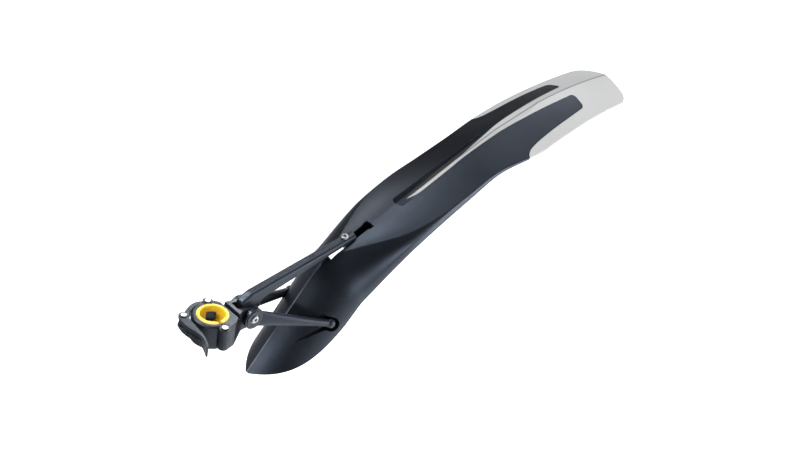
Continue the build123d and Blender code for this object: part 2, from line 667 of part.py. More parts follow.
# Pivot bolt through both ears, with its washer and captured nut
bolt_seat = DISC_OUTER - ARM_COUNTERBORE_DEPTH
head_seat = Vector(PIVOT_X, -bolt_seat - WASHER_THICKNESS, PIVOT_Z)
with BuildPart() as pivot_bolt:
    with BuildSketch(Plane(head_seat, x_dir=(1, 0, 0), z_dir=(0, 1, 0))):
        Circle(BOLT_RADIUS)
    extrude(amount=2 * bolt_seat + WASHER_THICKNESS + NUT_HEIGHT)
    with BuildSketch(Plane(head_seat, x_dir=(1, 0, 0), z_dir=(0, -1, 0))):
        Circle(PIVOT_HEAD_DIAMETER / 2)
    extrude(amount=PIVOT_HEAD_HEIGHT)
    bolt_crown = pivot_bolt.faces().sort_by(Axis.Y)[0]
    fillet(bolt_crown.edges(), PIVOT_HEAD_HEIGHT / 2)
    with BuildSketch(Plane(bolt_crown.center(), x_dir=(1, 0, 0), z_dir=(0, 1, 0))):
        RegularPolygon(HEX_KEY / 2, 6, major_radius=False)
    extrude(amount=HEX_DEPTH, mode=Mode.SUBTRACT)
write(pivot_bolt.part, "pivot_bolt")

with BuildPart() as pivot_washer:
    with BuildSketch(Plane((PIVOT_X, -bolt_seat, PIVOT_Z), x_dir=(1, 0, 0), z_dir=(0, -1, 0))):
        Circle(WASHER_DIAMETER / 2)
        Circle(BOLT_BORE, mode=Mode.SUBTRACT)
    extrude(amount=WASHER_THICKNESS)
write(pivot_washer.part, "pivot_washer")

with BuildPart() as pivot_nut:
    with BuildSketch(Plane((PIVOT_X, bolt_seat, PIVOT_Z), x_dir=(1, 0, 0), z_dir=(0, 1, 0))):
        RegularPolygon(NUT_FLATS / 2, 6, major_radius=False)
        Circle(BOLT_BORE, mode=Mode.SUBTRACT)
    extrude(amount=NUT_HEIGHT)
write(pivot_nut.part, "pivot_nut")

# Top arm: a knuckle between the ears, an elbow, and a foot that lies on the deck over the slot
foot_plane = side_plane(FOOT_END)
foot_rear = foot_plane.from_local_coords(Vector(0, FOOT_GAP, 0))
foot_front = foot_plane.from_local_coords(Vector(-FOOT_LENGTH, FOOT_GAP, 0))
elbow = Vector(ELBOW_X, 0, PIVOT_Z + ELBOW_RISE)
arm_run = Vector(cos(radians(TOP_ARM_SLOPE)), 0, sin(radians(TOP_ARM_SLOPE)))
arm_out = Vector(-arm_run.Z, 0, arm_run.X)
end_top = elbow + arm_run * (foot_rear - elbow).dot(arm_run)
elbow_under = elbow + (arm_run - arm_out) * TOP_ARM_DEPTH
foot_under = foot_front - arm_run * FOOT_LENGTH / 2 + arm_out
arm_plane = Plane.XZ
brow_x = PIVOT_X - KNUCKLE_RADIUS - KNUCKLE_BROW
knuckle_front = (PIVOT_X - KNUCKLE_RADIUS * 0.94, PIVOT_Z + KNUCKLE_RADIUS * 0.34)
knuckle_rear = (PIVOT_X + KNUCKLE_RADIUS * 0.94, PIVOT_Z - KNUCKLE_RADIUS * 0.34)
with BuildPart() as top_arm:
    with BuildSketch(arm_plane):
        with BuildLine():
            FilletPolyline(
                knuckle_front,
                (brow_x, PIVOT_Z + KNUCKLE_BROW_LOW),
                (brow_x, PIVOT_Z + KNUCKLE_BROW_HIGH),
                (elbow.X, elbow.Z),
                (end_top.X, end_top.Z),
                radius=(BROW_RADIUS, BROW_RADIUS, ELBOW_RADIUS),
            )
            Polyline((end_top.X, end_top.Z), (foot_rear.X, foot_rear.Z), (foot_front.X, foot_front.Z))
            FilletPolyline(
                (foot_front.X, foot_front.Z),
                (foot_under.X, foot_under.Z),
                (elbow_under.X, elbow_under.Z),
                knuckle_rear,
                radius=ELBOW_RADIUS,
            )
            Line(knuckle_rear, knuckle_front)
        make_face()
    extrude(amount=TOP_ARM_WIDTH / 2, both=True)
    outside = top_arm.faces().filter_by(lambda face: face.normal_at().dot(arm_out) > 0.5)
    fillet(outside.edges().filter_by(lambda edge: abs(edge.center().Y) > TOP_ARM_WIDTH / 3), TOP_ARM_EDGE)
    with BuildSketch(arm_plane):
        with Locations((PIVOT_X, PIVOT_Z)):
            Circle(KNUCKLE_RADIUS)
    extrude(amount=TOP_ARM_WIDTH / 2, both=True)
    with BuildSketch(arm_plane):
        with Locations((PIVOT_X, PIVOT_Z)):
            Circle(BOLT_BORE)
    extrude(amount=REACH, both=True, mode=Mode.SUBTRACT)
    screw_seat = end_top - arm_run * SCREW_SETBACK
    screw_plane = Plane(screw_seat, x_dir=arm_run, z_dir=arm_out)
    with BuildSketch(screw_plane):
        Circle(SLOT_SCREW_RADIUS + RUNNING_FIT)
    extrude(amount=-REACH / 2, mode=Mode.SUBTRACT)
write(top_arm.part, "top_arm")

# Slot screw and the nut that slides under the deck
nut_plane = side_plane(FOOT_END - FOOT_LENGTH / 2)
nut_top = nut_plane.from_local_coords(Vector(0, -BLADE_WALL - SLIDE_NUT_GAP, 0))
with BuildPart() as slot_screw:
    screw_length = (screw_seat - nut_top).dot(arm_out) + SLIDE_NUT_HEIGHT
    with BuildSketch(screw_plane.offset(SEAT_GAP)):
        Circle(SLOT_SCREW_RADIUS)
    extrude(amount=-screw_length)
    with BuildSketch(screw_plane.offset(SEAT_GAP)):
        Circle(SLOT_SCREW_HEAD_DIAMETER / 2)
    extrude(amount=SLOT_SCREW_HEAD_HEIGHT)
    screw_crown = slot_screw.faces().sort_by(Axis.Z)[-1]
    fillet(screw_crown.edges(), SLOT_SCREW_HEAD_HEIGHT / 2)
    with BuildSketch(screw_plane.offset(SEAT_GAP + SLOT_SCREW_HEAD_HEIGHT)):
        RegularPolygon(HEX_KEY / 2, 6, major_radius=False)
    extrude(amount=-HEX_DEPTH, mode=Mode.SUBTRACT)
write(slot_screw.part, "slot_screw")

with BuildPart() as slide_nut:
    with BuildSketch(Plane(nut_top, x_dir=nut_plane.x_dir, z_dir=nut_plane.y_dir)):
        RectangleRounded(SLIDE_NUT_LENGTH, SLIDE_NUT_WIDTH, SLIDE_NUT_LENGTH / 6)
    extrude(amount=-SLIDE_NUT_HEIGHT)
    with BuildSketch(screw_plane):
        Circle(SLOT_SCREW_RADIUS + RUNNING_FIT)
    extrude(amount=-REACH / 2, mode=Mode.SUBTRACT)
write(slide_nut.part, "slide_nut")

# Hulls of the blade: outer and inner skin
with BuildPart() as outer_hull:
    loft(hull(0, 0, 0))
with BuildPart() as inner_hull:
    loft(hull(BLADE_WALL, UNDERRUN, OVERRUN))

# Outline of the light tail seen from above
tail_x = crest(STATIONS[-1].distance)[0].X
with BuildSketch(Plane.XY.offset(-2 * REACH)) as tail_outline:
    with BuildLine():
        prong = Spline(*deck_outline(((PRONG_START, 0),) + PRONG_HALF_WIDTHS
                                     + ((FINGER_END - FINGER_CORNER, FINGER_INNER),)))
        end_x = crest(FINGER_END)[0].X
        turn_x = (prong @ 1).X
        RadiusArc(prong @ 1, (end_x, FINGER_INNER + FINGER_CORNER), -FINGER_CORNER)
        Line((end_x, FINGER_INNER + FINGER_CORNER), (end_x, FINGER_OUTER - FINGER_CORNER))
        RadiusArc((end_x, FINGER_OUTER - FINGER_CORNER), (turn_x, FINGER_OUTER), -FINGER_CORNER)
        wedge = Spline(*([(turn_x, FINGER_OUTER)] + deck_outline(WEDGE_POINTS)
                         + deck_outline(((WEDGE_START, STATIONS[-1].half_width + OVERRUN / 2),))))
        Polyline(wedge @ 1, ((wedge @ 1).X, REACH), (tail_x + REACH, REACH), (tail_x + REACH, 0), prong @ 0)
    make_face()
    mirror(about=Plane.XZ)

# Outline of the tail's end seen from above, a shallow arc between rounded corners
tail_half = STATIONS[-1].half_width
tail_taper = (STATIONS[-2].half_width - tail_half) / (STATIONS[-1].distance - STATIONS[-2].distance)
with BuildSketch(Plane.XY) as tail_plan:
    with BuildLine():
        tail_end = ThreePointArc((tail_x - TAIL_BULGE, -tail_half), (tail_x, 0), (tail_x - TAIL_BULGE, tail_half))
        wide = tail_half + tail_taper * REACH
        Polyline(tail_end @ 1, (tail_x - REACH, wide), (tail_x - REACH, -wide), tail_end @ 0)
    make_face()
    fillet(tail_plan.vertices().sort_by(Axis.X)[-2:], TAIL_CORNER)

# Skin of the whole blade, with the trough, the prow's rising edge and the tail's rounded corners
with BuildPart() as tray:
    add(trough(BLADE_WALL))
    add(inner_hull.part, mode=Mode.INTERSECT)

with BuildPart() as skin:
    add(outer_hull.part)
    add(inner_hull.part, mode=Mode.SUBTRACT)
    add(tray.part)
    add(trough(0), mode=Mode.SUBTRACT)
    with BuildSketch(side_plane(0)):
        with BuildLine():
            prow = ThreePointArc((0, -NOSE_EDGE_FLAT), (NOSE_EDGE_MIDDLE[0], -NOSE_EDGE_MIDDLE[1]),
                                 (NOSE_EDGE_END[0], -NOSE_EDGE_END[1]))
            Polyline(prow @ 1, (NOSE_EDGE_END[0], -2 * REACH), (-REACH, -2 * REACH), (-REACH, REACH),
                     (0, REACH), prow @ 0)
        make_face()
    extrude(amount=REACH, both=True, mode=Mode.SUBTRACT)
    with BuildSketch(Plane.XY):
        with Locations((tail_x - TAIL_CORNER - TAIL_BULGE, 0)):
            Rectangle(REACH, 2 * REACH, align=(Align.MIN, Align.CENTER))
        add(tail_plan.sketch, mode=Mode.SUBTRACT)
    extrude(amount=4 * REACH, mode=Mode.SUBTRACT)


def channel_outline(ball, side, wall):
    """Outline seen along Y of the socket's mouth and the opening that the arm lies in."""
    towards = Vector(PIVOT_X - ball.X, 0, PIVOT_Z - ball.Z).normalized() * CHANNEL_LENGTH
    with BuildSketch(Plane((ball.X, side * BOSS_FACE, ball.Z), x_dir=(1, 0, 0), z_dir=(0, side, 0))) as outline:
        Circle(SOCKET_MOUTH_RADIUS + wall)
        with Locations((towards.X, -side * towards.Z)):
            Circle(SOCKET_MOUTH_RADIUS - CHANNEL_NARROWING + wall)
        make_hull()
    return outline.sketch


def socket_pocket(ball, scoop_plane, scoop_length, side):
    """Boss and scoop wall behind one ball socket, kept inside the skin."""
    with BuildPart() as pocket:
        extrude(channel_outline(ball, side, SOCKET_BOSS_WALL), amount=SOCKET_SPREAD - BOSS_FACE)
        with Locations(scoop_plane):
            Cone(SCOOP_TIP_RADIUS + SOCKET_BOSS_WALL, SCOOP_RADIUS + SOCKET_BOSS_WALL, scoop_length,
                 align=(Align.CENTER, Align.CENTER, Align.MIN))
        add(inner_hull.part, mode=Mode.INTERSECT)
    return pocket.part


# Dark shell of the blade
with BuildPart() as blade_shell:
    add(skin.part)
    extrude(tail_outline.sketch, amount=6 * REACH, mode=Mode.SUBTRACT)
    for side in (-1, 1):
        ball = Vector(socket.X, side * SOCKET_SPREAD, socket.Z)
        scoop_tip = on_blade(SCOOP_DISTANCE, SCOOP_DROP, side * SCOOP_SPREAD)
        scoop_run = ball - scoop_tip
        scoop_plane = Plane(scoop_tip, x_dir=(0, 1, 0), z_dir=scoop_run)
        add(socket_pocket(ball, scoop_plane, scoop_run.length, side))
        with Locations(scoop_plane):
            Cone(SCOOP_TIP_RADIUS, SCOOP_RADIUS, scoop_run.length,
                 align=(Align.CENTER, Align.CENTER, Align.MIN), mode=Mode.SUBTRACT)
        with Locations(ball):
            Sphere(BALL_RADIUS + SOCKET_CLEARANCE, mode=Mode.SUBTRACT)
        channel = extrude(channel_outline(ball, side, 0), amount=REACH, mode=Mode.PRIVATE)
        add(channel.moved(Location((0, side * CHANNEL_FLOOR, 0))), mode=Mode.SUBTRACT)
        with BuildSketch(Plane(ball, x_dir=(1, 0, 0), z_dir=(0, -side, 0))):
            Circle(SOCKET_SCREW_RADIUS + SIDE_GAP)
        extrude(amount=SOCKET_SPREAD - BOSS_FACE + SIDE_GAP, mode=Mode.SUBTRACT)
    with BuildSketch(Plane.XY):
        slot_x = crest(SLOT_START)[0].X
        slot_end_x = crest(SLOT_END)[0].X
        with Locations((slot_x, 0)):
            Rectangle(slot_end_x - slot_x, SLOT_WIDTH, align=(Align.MIN, Align.CENTER))
        with Locations((slot_end_x, 0)):
            Rectangle(SLOT_HEAD_LENGTH, SLOT_HEAD_WIDTH, align=(Align.MAX, Align.CENTER))
    extrude(amount=2 * REACH, mode=Mode.SUBTRACT)
write(blade_shell.part, "blade_shell")

# Light tail of the blade
with BuildPart() as tail_flap:
    add(skin.part)
    extrude(tail_outline.sketch, amount=6 * REACH, mode=Mode.INTERSECT)
write(tail_flap.part, "tail_flap")
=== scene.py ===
"""Quick-release rear mudguard in a white studio: finishes, small moulded details, light and camera."""
import json
import logging
from dataclasses import dataclass, replace
from enum import Enum
from math import cos, radians, sin

import bmesh
import bpy
from mathutils import Matrix, Vector


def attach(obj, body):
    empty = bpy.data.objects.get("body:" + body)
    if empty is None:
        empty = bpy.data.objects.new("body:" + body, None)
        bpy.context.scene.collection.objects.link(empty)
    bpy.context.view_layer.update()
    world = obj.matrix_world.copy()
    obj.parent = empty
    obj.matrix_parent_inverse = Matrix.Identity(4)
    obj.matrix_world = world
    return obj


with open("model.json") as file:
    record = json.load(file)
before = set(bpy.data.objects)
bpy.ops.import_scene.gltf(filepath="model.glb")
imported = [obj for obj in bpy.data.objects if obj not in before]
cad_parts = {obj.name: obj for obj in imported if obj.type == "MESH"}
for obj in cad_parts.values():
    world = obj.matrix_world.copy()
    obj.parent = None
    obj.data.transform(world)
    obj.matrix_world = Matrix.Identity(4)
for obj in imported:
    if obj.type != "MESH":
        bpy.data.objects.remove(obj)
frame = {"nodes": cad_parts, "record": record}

LOG = logging.getLogger("mudguard")
PHOTO_WIDTH = 800
PHOTO_HEIGHT = 450
SENSOR_MM = 36.0
WHITE = (1.0, 1.0, 1.0)
EDGE_SAMPLES = 4  # of the shader's rounded edges
RIM_ROUND = 0.0003  # rounding of the new pieces' edges, in metres
RIM_ANGLE = radians(60.0)  # edges that turn by more than this are rounded

Colour = tuple[float, float, float]
Point = tuple[float, float, float]
Pair = tuple[float, float]
Socket = bpy.types.NodeSocket


class Slot(Enum):
    """Material slots of the record."""

    DARK = "dark_plastic"
    CLAMP = "clamp_plastic"
    LIGHT = "light_plastic"
    YELLOW = "yellow_sleeve"
    STEEL = "bright_steel"
    NUT = "nut_plastic"


class Effect(Enum):
    """Shared surface effects, each a shader node group."""

    GRAIN = "mould_grain"
    DRIFT = "colour_drift"
    SCUFFS = "handling_scuffs"


class Graph:
    """Node tree of a material, a group or the world, with short ways to add and join nodes."""

    def __init__(self, tree: bpy.types.NodeTree) -> None:
        """Starts from an empty tree."""
        self.tree = tree
        tree.nodes.clear()

    def add(self, kind: str, **settings: object) -> bpy.types.Node:
        """Adds one node.

        Args:
            kind: Blender's name of the node type.
            **settings: properties of the node.

        Returns:
            The new node.
        """
        node = self.tree.nodes.new(kind)
        for name, value in settings.items():
            setattr(node, name, value)
        return node

    def join(self, value: object, socket: Socket) -> None:
        """Links an output to an input, or sets the input to a plain value.

        Args:
            value: output socket or plain value.
            socket: the input that takes it.
        """
        if isinstance(value, Socket):
            self.tree.links.new(value, socket)
        else:
            socket.default_value = value

    def feed(self, node: bpy.types.Node, **inputs: object) -> bpy.types.Node:
        """Sets or links a node's inputs by name, with spaces written as underscores.

        Args:
            node: the node that takes the inputs.
            **inputs: output sockets to link, or plain values.

        Returns:
            The same node.
        """
        for name, value in inputs.items():
            self.join(value, node.inputs[name.replace("_", " ")])
        return node

    def math(self, operation: str, first: object, second: object = 0.0) -> Socket:
        """Joins two values with a Math node.

        Args:
            operation: the Math node's operation.
            first: socket or number.
            second: socket or number.

        Returns:
            The result's socket.
        """
        node = self.add("ShaderNodeMath", operation=operation)
        for socket, value in zip(node.inputs, (first, second)):
            self.join(value, socket)
        return node.outputs[0]

    def product(self, first: object, *others: object) -> Socket:
        """Multiplies values.

        Args:
            first: socket or number.
            *others: sockets or numbers.

        Returns:
            The product's socket.
        """
        for other in others:
            first = self.math("MULTIPLY", first, other)
        return first

    def ramp(
        self, value: Socket, start: float, end: float, low: float = 0.0, high: float = 1.0, smooth: bool = False
    ) -> Socket:
        """Maps a range of a value to another range and holds it there on both sides.

        Args:
            value: the socket to map.
            start: value that gives the low result.
            end: value that gives the high result.
            low: result at the start.
            high: result at the end.
            smooth: whether the result leaves both ends softly.

        Returns:
            The mapped value's socket.
        """
        node = self.add("ShaderNodeMapRange", interpolation_type="SMOOTHSTEP" if smooth else "LINEAR")
        self.feed(node, Value=value, From_Min=start, From_Max=end, To_Min=low, To_Max=high)
        return node.outputs["Result"]

    def mix(self, share: Socket, first: object, second: object) -> Socket:
        """Mixes two colours.

        Args:
            share: how much of the second colour shows.
            first: colour or socket.
            second: colour or socket.

        Returns:
            The mixed colour's socket.
        """
        node = self.add("ShaderNodeMix", data_type="RGBA")
        self.tree.links.new(share, node.inputs[0])
        for socket, value in zip(node.inputs[6:8], (first, second)):
            self.join(value if isinstance(value, Socket) else (*value, 1.0), socket)
        return node.outputs[2]

    def split(self, vector: Socket) -> tuple[Socket, Socket, Socket]:
        """Takes a vector apart into its x, y and z."""
        node = self.feed(self.add("ShaderNodeSeparateXYZ"), Vector=vector)
        return node.outputs["X"], node.outputs["Y"], node.outputs["Z"]

    def noise(self, vector: Socket, scale: object, detail: float, roughness: float = 0.5) -> Socket:
        """Adds a cloud of noise.

        Args:
            vector: coordinates that the noise follows.
            scale: socket or number.
            detail: how many finer layers it has.
            roughness: how strong the finer layers are.

        Returns:
            The noise value's socket.
        """
        node = self.add("ShaderNodeTexNoise")
        self.feed(node, Vector=vector, Scale=scale, Detail=detail, Roughness=roughness)
        return node.outputs[0]

    def rounded(self, radius: float) -> Socket:
        """Normal of a surface with rounded edges."""
        return self.feed(self.add("ShaderNodeBevel", samples=EDGE_SAMPLES), Radius=radius).outputs[0]

    def bump(self, height: Socket, depth: float, normal: Socket, sunk: bool = False) -> Socket:
        """Raises or sinks a height on a surface.

        Args:
            height: mask or height from 0 to 1.
            depth: how high one stands, in metres.
            normal: normal of the surface.
            sunk: whether the height goes down.

        Returns:
            The new normal's socket.
        """
        node = self.add("ShaderNodeBump", invert=sunk)
        return self.feed(node, Height=height, Distance=depth, Normal=normal).outputs[0]

    def show(self, surface: Socket, output: str = "ShaderNodeOutputMaterial") -> None:
        """Ends the tree with a shader."""
        self.feed(self.add(output), Surface=surface)


def new_material(name: str) -> tuple[bpy.types.Material, Graph]:
    """Starts a node material.

    Args:
        name: the material's name.

    Returns:
        The material and its empty graph.
    """
    material = bpy.data.materials.new(name)
    material.use_nodes = True
    return material, Graph(material.node_tree)


@dataclass(frozen=True)
class EffectGroups:
    """Builds the shared effects once."""

    pebble_soft: float = 0.6
    cloud_step: float = 9.0  # how much finer the second cloud is
    slow_share: float = 0.65
    fine_share: float = 0.35
    drift_range: Pair = (-0.6, 1.6)
    streak_turn: Point = (0.4, 0.9, 0.6)
    streak_stretch: Point = (1.0, 9.0, 6.0)
    streak_band: Pair = (0.62, 0.72)
    patch_step: float = 0.3
    patch_band: Pair = (0.5, 0.7)

    def build(self) -> None:
        """Makes every shared node group."""
        self.grain()
        self.drift()
        self.scuffs()

    def open_group(
        self, effect: Effect, inputs: dict[str, float], output: str
    ) -> tuple[Graph, dict[str, Socket]]:
        """Starts a group with a vector input, named values and one output.

        Args:
            effect: which effect the group holds.
            inputs: names of the value inputs with their defaults.
            output: name of the value output.

        Returns:
            The group's graph and its input sockets by name.
        """
        tree = bpy.data.node_groups.new(effect.value, "ShaderNodeTree")
        tree.interface.new_socket("Vector", in_out="INPUT", socket_type="NodeSocketVector")
        for name, default in inputs.items():
            socket = tree.interface.new_socket(name, in_out="INPUT", socket_type="NodeSocketFloat")
            socket.default_value = default
        tree.interface.new_socket(output, in_out="OUTPUT", socket_type="NodeSocketFloat")
        graph = Graph(tree)
        start = graph.add("NodeGroupInput")
        return graph, {socket.name: socket for socket in start.outputs if socket.name}

    def grain(self) -> None:
        """Fine pebbled texture of a spark-eroded mould."""
        graph, given = self.open_group(Effect.GRAIN, {"Scale": 1800.0, "Pebble": 0.5}, "Height")
        fine = graph.noise(given["Vector"], given["Scale"], 3.0, 0.6)
        pebble = graph.add("ShaderNodeTexVoronoi", feature="SMOOTH_F1")
        graph.feed(pebble, Vector=given["Vector"], Scale=given["Scale"], Smoothness=self.pebble_soft)
        dome = graph.product(graph.math("SUBTRACT", 1.0, pebble.outputs["Distance"]), given["Pebble"])
        graph.feed(graph.add("NodeGroupOutput"), Height=graph.math("ADD", fine, dome))

    def drift(self) -> None:
        """Slow change of tone across a moulding, with a finer cloud in it."""
        graph, given = self.open_group(Effect.DRIFT, {"Scale": 14.0}, "Value")
        slow = graph.noise(given["Vector"], given["Scale"], 4.0, 0.55)
        fine = graph.noise(given["Vector"], graph.product(given["Scale"], self.cloud_step), 3.0, 0.6)
        both = graph.math("ADD", graph.product(slow, self.slow_share), graph.product(fine, self.fine_share))
        graph.feed(graph.add("NodeGroupOutput"), Value=graph.ramp(both, 0.0, 1.0, *self.drift_range))

    def scuffs(self) -> None:
        """Sparse fine rub marks from handling."""
        graph, given = self.open_group(Effect.SCUFFS, {"Scale": 60.0, "Amount": 0.3}, "Mask")
        turn = graph.add("ShaderNodeMapping")
        graph.feed(turn, Vector=given["Vector"], Rotation=self.streak_turn, Scale=self.streak_stretch)
        streak = graph.noise(turn.outputs[0], given["Scale"], 2.0)
        patch = graph.noise(given["Vector"], graph.product(given["Scale"], self.patch_step), 1.0)
        line = graph.ramp(streak, *self.streak_band)
        where = graph.ramp(patch, *self.patch_band)
        graph.feed(graph.add("NodeGroupOutput"), Mask=graph.product(line, where, given["Amount"]))


def place_effect(graph: Graph, effect: Effect, vector: Socket, **values: float) -> Socket:
    """Places a shared effect in a material.

    Args:
        graph: the material's graph.
        effect: which effect to place.
        vector: coordinates that the effect follows.
        **values: the effect's named values.

    Returns:
        The effect's output.
    """
    node = graph.add("ShaderNodeGroup")
    node.node_tree = bpy.data.node_groups[effect.value]
    return graph.feed(node, Vector=vector, **values).outputs[0]


def middle_line(graph: Graph, across: Socket, half: float, soft: float) -> Socket:
    """Marks a line along the middle of the guard.

    Args:
        graph: the material's graph.
        across: distance from the middle, in metres.
        half: half the line's width.
        soft: width of its soft edge.

    Returns:
        The mask's socket, one on the line.
    """
    return graph.ramp(graph.math("ABSOLUTE", across), half, half + soft, 1.0, 0.0, smooth=True)


@dataclass(frozen=True)
class TailSeam:
    """Crease along the middle of the tail, sunk by a bump and darkened with painted shade, and the dark plastic's
    tone over the far half of its prong.
    """

    crease_half: float = 0.0006
    crease_soft: float = 0.0005
    crease_depth: float = 0.0004
    # painted shade along the crease
    crease_shade_tone: Colour = (0.3, 0.3, 0.31)
    dark_half_start: float = 0.345
    dark_half_end: float = 0.44
    dark_half_width: float = 0.009
    dark_half_soft: float = 0.0003
    dark_half_reach: float = 0.02
    # dark plastic's tone, laid over the far half of the prong near its front
    dark_half_tone: Colour = (0.0058, 0.0063, 0.0085)

    def lay(self, graph: Graph, where: Socket, tone: Socket, normal: Socket) -> tuple[Socket, Socket]:
        """Lays the crease with its painted shade, and the dark far half, over a plastic.

        Args:
            graph: the material's graph.
            where: object coordinates in metres.
            tone: colour of the plastic.
            normal: normal of the plastic.

        Returns:
            The colour and the normal with both laid in.
        """
        along, across, _ = graph.split(where)
        crease = middle_line(graph, across, self.crease_half, self.crease_soft)
        width = graph.ramp(along, self.dark_half_start, self.dark_half_end, 0.0, self.dark_half_width)
        dark_half = graph.ramp(graph.math("SUBTRACT", across, width), 0.0, self.dark_half_soft)
        before_end = graph.math("LESS_THAN", along, self.dark_half_end)
        on_prong = graph.math("LESS_THAN", across, self.dark_half_reach)
        # painted shade darkens the crease
        tone = graph.mix(crease, tone, self.crease_shade_tone)
        tone = graph.mix(graph.product(dark_half, before_end, on_prong), tone, self.dark_half_tone)
        return tone, graph.bump(crease, self.crease_depth, normal, sunk=True)


@dataclass(frozen=True)
class NoseCrest:
    """Painted highlight along the sharp crest of the nose, as a light line on its outside."""

    half: float = 0.0005
    soft: float = 0.0006
    fade_start: float = 0.105
    fade_end: float = 0.15
    tip: Pair = (0.058, -0.089)
    outward: Pair = (-0.7986, 0.6018)
    skin: float = -0.0015
    # painted highlight along the crest
    crest_highlight_tone: Colour = (0.12, 0.125, 0.14)

    def lay(self, graph: Graph, where: Socket, tone: Socket, normal: Socket) -> tuple[Socket, Socket]:
        """Lays the painted highlight over a plastic.

        Args:
            graph: the material's graph.
            where: object coordinates in metres.
            tone: colour of the plastic.
            normal: normal of the plastic.

        Returns:
            The colour with the line laid in, and the same normal.
        """
        along, across, height = graph.split(where)
        line = middle_line(graph, across, self.half, self.soft)
        fade = graph.ramp(along, self.fade_start, self.fade_end, 1.0, 0.0, smooth=True)
        past_x = graph.product(graph.math("SUBTRACT", along, self.tip[0]), self.outward[0])
        past_z = graph.product(graph.math("SUBTRACT", height, self.tip[1]), self.outward[1])
        outside = graph.math("GREATER_THAN", graph.math("ADD", past_x, past_z), self.skin)
        # painted highlight laid along the crest
        return graph.mix(graph.product(line, fade, outside), tone, self.crest_highlight_tone), normal


@dataclass(frozen=True)
class MouldedPlastic:
    """Moulded plastic with a spark-eroded grain, drift of tone and handling marks."""

    name: str
    colour: Colour
    shade: Colour
    roughness: float
    roughness_swing: float = 0.08
    specular: float = 0.5
    specular_tint: Colour = WHITE
    grain_scale: float = 1600.0
    grain_depth: float = 0.00006
    edge_round: float = 0.0004
    scuff_amount: float = 0.2
    scuff_colour: Colour = (0.05, 0.053, 0.06)
    scuff_dulling: float = 0.2
    drift_scale: float = 14.0
    # the tail's crease carries painted shade, and the nose's crest a painted highlight
    seam: TailSeam | NoseCrest | None = None

    def material(self) -> bpy.types.Material:
        """Builds the finish as a node material.

        Returns:
            The material.
        """
        material, graph = new_material(self.name)
        where = graph.add("ShaderNodeTexCoord").outputs["Object"]
        drift = place_effect(graph, Effect.DRIFT, where, Scale=self.drift_scale)
        scuffs = place_effect(graph, Effect.SCUFFS, where, Amount=self.scuff_amount)
        grain = place_effect(graph, Effect.GRAIN, where, Scale=self.grain_scale)
        tone = graph.mix(drift, self.shade, self.colour)
        tone = graph.mix(scuffs, tone, self.scuff_colour)
        dullest, glossiest = self.roughness + self.roughness_swing, self.roughness - self.roughness_swing
        rough = graph.ramp(drift, 0.0, 1.0, dullest, glossiest)
        rough = graph.math("ADD", rough, graph.product(scuffs, self.scuff_dulling))
        normal = graph.rounded(self.edge_round)
        if self.seam is not None:
            tone, normal = self.seam.lay(graph, where, tone, normal)
        normal = graph.bump(grain, self.grain_depth, normal)
        shader = graph.add("ShaderNodeBsdfPrincipled")
        graph.feed(shader, Base_Color=tone, Roughness=rough, Normal=normal, Specular_IOR_Level=self.specular)
        graph.feed(shader, Specular_Tint=(*self.specular_tint, 1.0))
        graph.show(shader.outputs[0])
        return material


@dataclass(frozen=True)
class PinRimShade:
    """Painted shade as a dark, non-metal rim around the bright middle of each pin's head, in metres."""

    centres: tuple[Pair, ...]
    bright: float = 0.0029
    soft: float = 0.0003
    reach: float = 0.0046
    # painted shade of the rim
    tone: Colour = (0.0075, 0.008, 0.0098)

    def mask(self, graph: Graph, where: Socket) -> Socket:
        """Marks the rims.

        Args:
            graph: the material's graph.
            where: object coordinates in metres.

        Returns:
            The mask's socket, one on a rim.
        """
        x, y, _ = graph.split(where)
        flat = graph.feed(graph.add("ShaderNodeCombineXYZ"), X=x, Y=y).outputs[0]
        nearest: object = self.reach
        for centre in self.centres:
            gap = graph.add("ShaderNodeVectorMath", operation="DISTANCE")
            graph.join(flat, gap.inputs[0])
            graph.join((*centre, 0.0), gap.inputs[1])
            nearest = graph.math("MINIMUM", gap.outputs["Value"], nearest)
        return graph.ramp(nearest, self.bright, self.bright + self.soft)


@dataclass(frozen=True)
class PlatedSteel:
    """Bright plated steel with turned marks and a faint haze."""

    name: str
    colour: Colour
    roughness: float
    dulled: float = 0.06
    polished: float = 0.04
    haze_scale: float = 120.0
    haze_share: float = 0.82  # of the colour, where the haze is thickest
    scuff_scale: float = 300.0
    scuff_amount: float = 0.5
    scuff_dulling: float = 0.25
    mark_scale: float = 900.0
    mark_depth: float = 0.00001
    edge_round: float = 0.0002
    rim_shade: PinRimShade | None = None

    def material(self) -> bpy.types.Material:
        """Builds the finish as a node material.

        Returns:
            The material.
        """
        material, graph = new_material(self.name)
        where = graph.add("ShaderNodeTexCoord").outputs["Object"]
        haze = place_effect(graph, Effect.DRIFT, where, Scale=self.haze_scale)
        scuffs = place_effect(graph, Effect.SCUFFS, where, Scale=self.scuff_scale, Amount=self.scuff_amount)
        marks = place_effect(graph, Effect.GRAIN, where, Scale=self.mark_scale, Pebble=0.0)
        tone = graph.mix(haze, tuple(self.haze_share * value for value in self.colour), self.colour)
        rough = graph.ramp(haze, 0.0, 1.0, self.roughness + self.dulled, self.roughness - self.polished)
        rough = graph.math("ADD", rough, graph.product(scuffs, self.scuff_dulling))
        normal = graph.bump(marks, self.mark_depth, graph.rounded(self.edge_round))
        shader = graph.add("ShaderNodeBsdfPrincipled")
        graph.feed(shader, Roughness=rough, Normal=normal, Metallic=1.0)
        if self.rim_shade is not None:
            # painted shade on the rim of each pin's head
            rim = self.rim_shade.mask(graph, where)
            tone = graph.mix(rim, tone, self.rim_shade.tone)
            graph.feed(shader, Metallic=graph.math("SUBTRACT", 1.0, rim))
        graph.feed(shader, Base_Color=tone)
        graph.show(shader.outputs[0])
        return material


